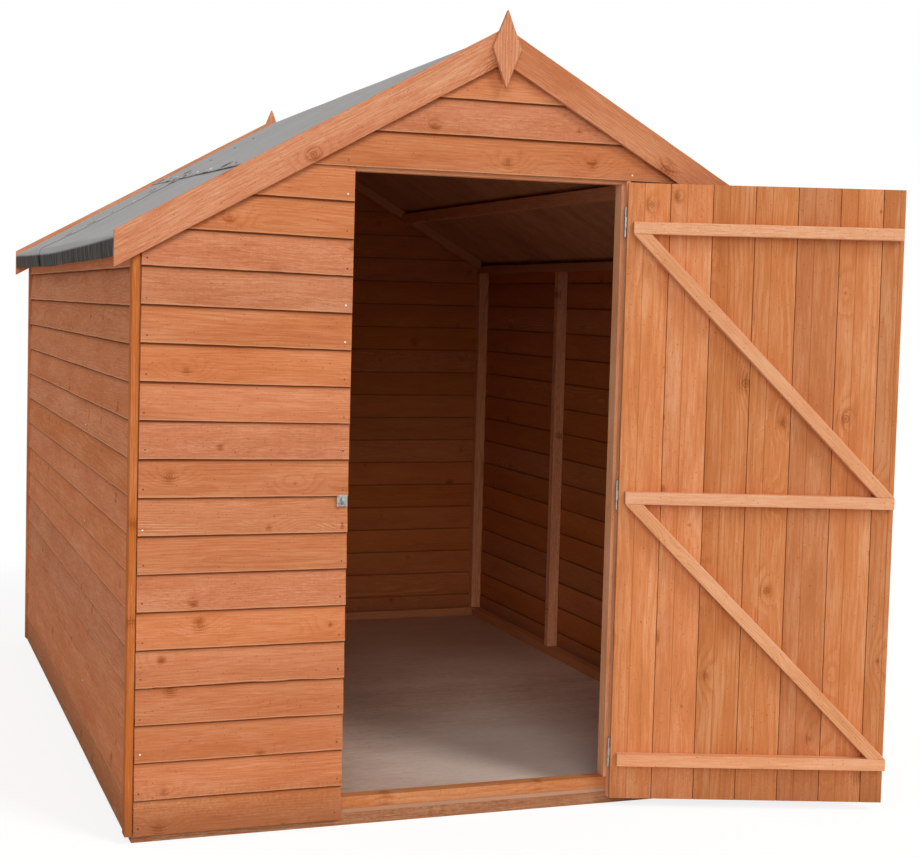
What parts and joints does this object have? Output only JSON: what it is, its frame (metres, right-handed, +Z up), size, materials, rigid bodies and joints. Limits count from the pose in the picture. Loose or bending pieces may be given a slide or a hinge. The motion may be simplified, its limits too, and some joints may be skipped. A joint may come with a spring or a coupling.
{
  "type": "wooden garden shed",
  "caption": "Small apex-roofed timber garden shed with overlap-boarded walls, felted roof, boarded floor and a ledged and braced door that swings outward.",
  "frame": {"origin": "on the ground at the middle of the floor, on the middle bearer's underside", "axes": "+Z up, +Y from the doorway to the rear wall, +X to the right seen from the front, towards the hinged side of the door"},
  "size_m": [2.0313, 2.7417, 2.077],
  "materials": {
    "wall_boards": "dip-treated softwood, matt",
    "framing": "dip-treated sawn softwood, matt",
    "trim_boards": "dip-treated softwood, matt",
    "bearers": "treated sawn softwood, matt",
    "floor": "board, matt",
    "roof_deck": "sheet board, rough",
    "roof_felt": "mineral-faced bitumen felt, rough",
    "zinc_plate": "zinc-plated, dull",
    "door_timber": "dip-treated planed softwood, matt"
  },
  "bodies": {
    "shed": {"floor_bearers": "bearers", "floor_deck": "floor", "left_wall_boards": "wall_boards", "left_wall_studs": "framing", "left_wall_rails": "framing", "right_wall_boards": "wall_boards", "right_wall_studs": "framing", "right_wall_rails": "framing", "rear_wall_boards": "wall_boards", "rear_wall_studs": "framing", "rear_bottom_rail": "framing", "rear_gable_rafters": "framing", "front_boards_left": "wall_boards", "front_boards_right": "wall_boards", "front_gable_boards": "wall_boards", "front_wall_studs": "framing", "front_bottom_rail": "framing", "front_gable_rafters": "framing", "door_posts": "framing", "door_head_rail": "framing", "corner_strips": "trim_boards", "roof_purlins": "framing", "ridge_beam": "framing", "roof_deck_left": "roof_deck", "roof_deck_right": "roof_deck", "eave_battens": "framing", "roof_felt_left": "roof_felt", "roof_felt_right": "roof_felt", "roof_felt_ridge": "roof_felt", "front_barge_left": "trim_boards", "front_barge_right": "trim_boards", "rear_barge_left": "trim_boards", "rear_barge_right": "trim_boards", "front_finial": "trim_boards", "rear_finial": "trim_boards", "hinge_plates": "zinc_plate", "hasp_staple": "zinc_plate"},
    "door": {"door_boards": "door_timber", "door_ledges": "door_timber", "door_braces": "door_timber", "hinge_straps": "zinc_plate", "hasp": "zinc_plate"}
  },
  "joints": [
    {"name": "door_hinge", "type": "hinge", "parent": "shed", "child": "door", "pos_m": [0.3545, -1.227, 0.838], "axis": [0, 0, 1], "range_deg": [-162, 6]}
  ]
}
